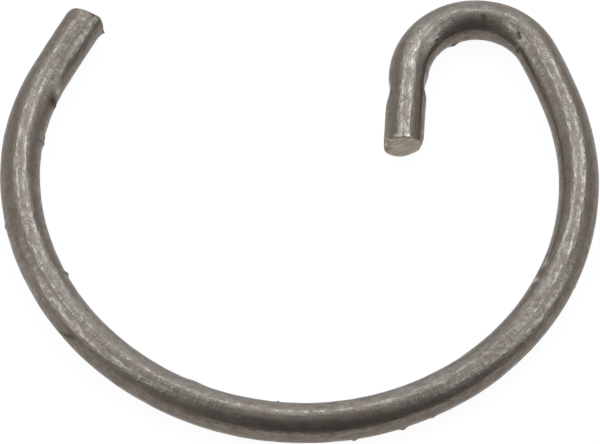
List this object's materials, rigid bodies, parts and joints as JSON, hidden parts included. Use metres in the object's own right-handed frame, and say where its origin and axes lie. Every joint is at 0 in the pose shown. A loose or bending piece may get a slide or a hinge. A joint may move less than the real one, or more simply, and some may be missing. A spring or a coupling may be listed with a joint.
{
  "type": "wire retaining ring",
  "caption": "Open C-shaped retaining ring of round spring wire for a piston pin bore, with a plain free end and a hooked end whose straight tail is gripped to fit or remove it.",
  "frame": {"origin": "centre of the main coil, in the plane of the wire's axis", "axes": "+Z along the pin's axis, square to the flat ring; +Y from the coil's closed side towards the mouth between the two ends; +X towards the hooked end"},
  "size_m": [0.0149, 0.0125, 0.001],
  "materials": {
    "wire": "drawn spring steel, dull oxide grey with a faint warm tint"
  },
  "bodies": {
    "root": {"retaining_ring": "wire"}
  },
  "joints": []
}
